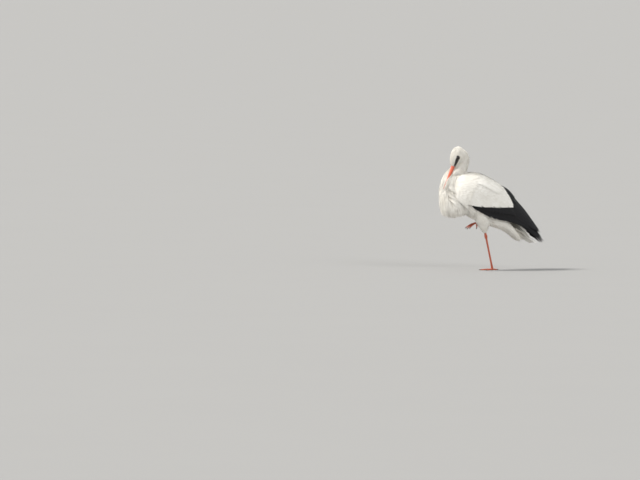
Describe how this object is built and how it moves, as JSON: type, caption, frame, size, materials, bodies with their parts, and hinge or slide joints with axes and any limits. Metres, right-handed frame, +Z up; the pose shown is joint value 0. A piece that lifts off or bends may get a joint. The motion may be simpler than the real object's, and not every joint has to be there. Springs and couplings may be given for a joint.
{
  "type": "white stork",
  "caption": "Life-size still white stork resting on one leg, neck drawn in, long red bill laid on its breast, white with black wing feathers.",
  "frame": {"origin": "centre of the bounding box on the floor, under the standing foot's tarsus within a few millimetres", "axes": "+Z up, the bird faces -Y, its left side is +X"},
  "size_m": [0.2454, 0.6944, 0.7443],
  "materials": {
    "white_plumage": "soft matt feathers",
    "black_plumage": "feathers with a low gloss",
    "body_flesh": "skin under soft matt feathers",
    "red_horn": "satin horn",
    "red_leg": "scaled skin",
    "dark_claw": "satin horn",
    "eye": "gloss"
  },
  "bodies": {
    "root": {"head": "white_plumage", "neck": "white_plumage", "breast": "white_plumage", "trunk": "body_flesh", "thigh_left": "body_flesh", "thigh_right": "body_flesh", "wing_left_coverts": "white_plumage", "wing_left_secondaries": "black_plumage", "wing_left_primaries": "black_plumage", "wing_right_coverts": "white_plumage", "wing_right_secondaries": "black_plumage", "wing_right_primaries": "black_plumage", "tail": "white_plumage", "bill_upper": "red_horn", "bill_lower": "red_horn", "eye_left": "eye", "eye_right": "eye", "shank_left": "red_leg", "tarsus_left": "red_leg", "foot_left": "red_leg", "claw_left_inner": "dark_claw", "claw_left_middle": "dark_claw", "claw_left_outer": "dark_claw", "claw_left_hind": "dark_claw", "shank_right": "red_leg", "tarsus_right": "red_leg", "foot_right": "red_leg", "claw_right_inner": "dark_claw", "claw_right_middle": "dark_claw", "claw_right_outer": "dark_claw", "claw_right_hind": "dark_claw"}
  },
  "joints": []
}
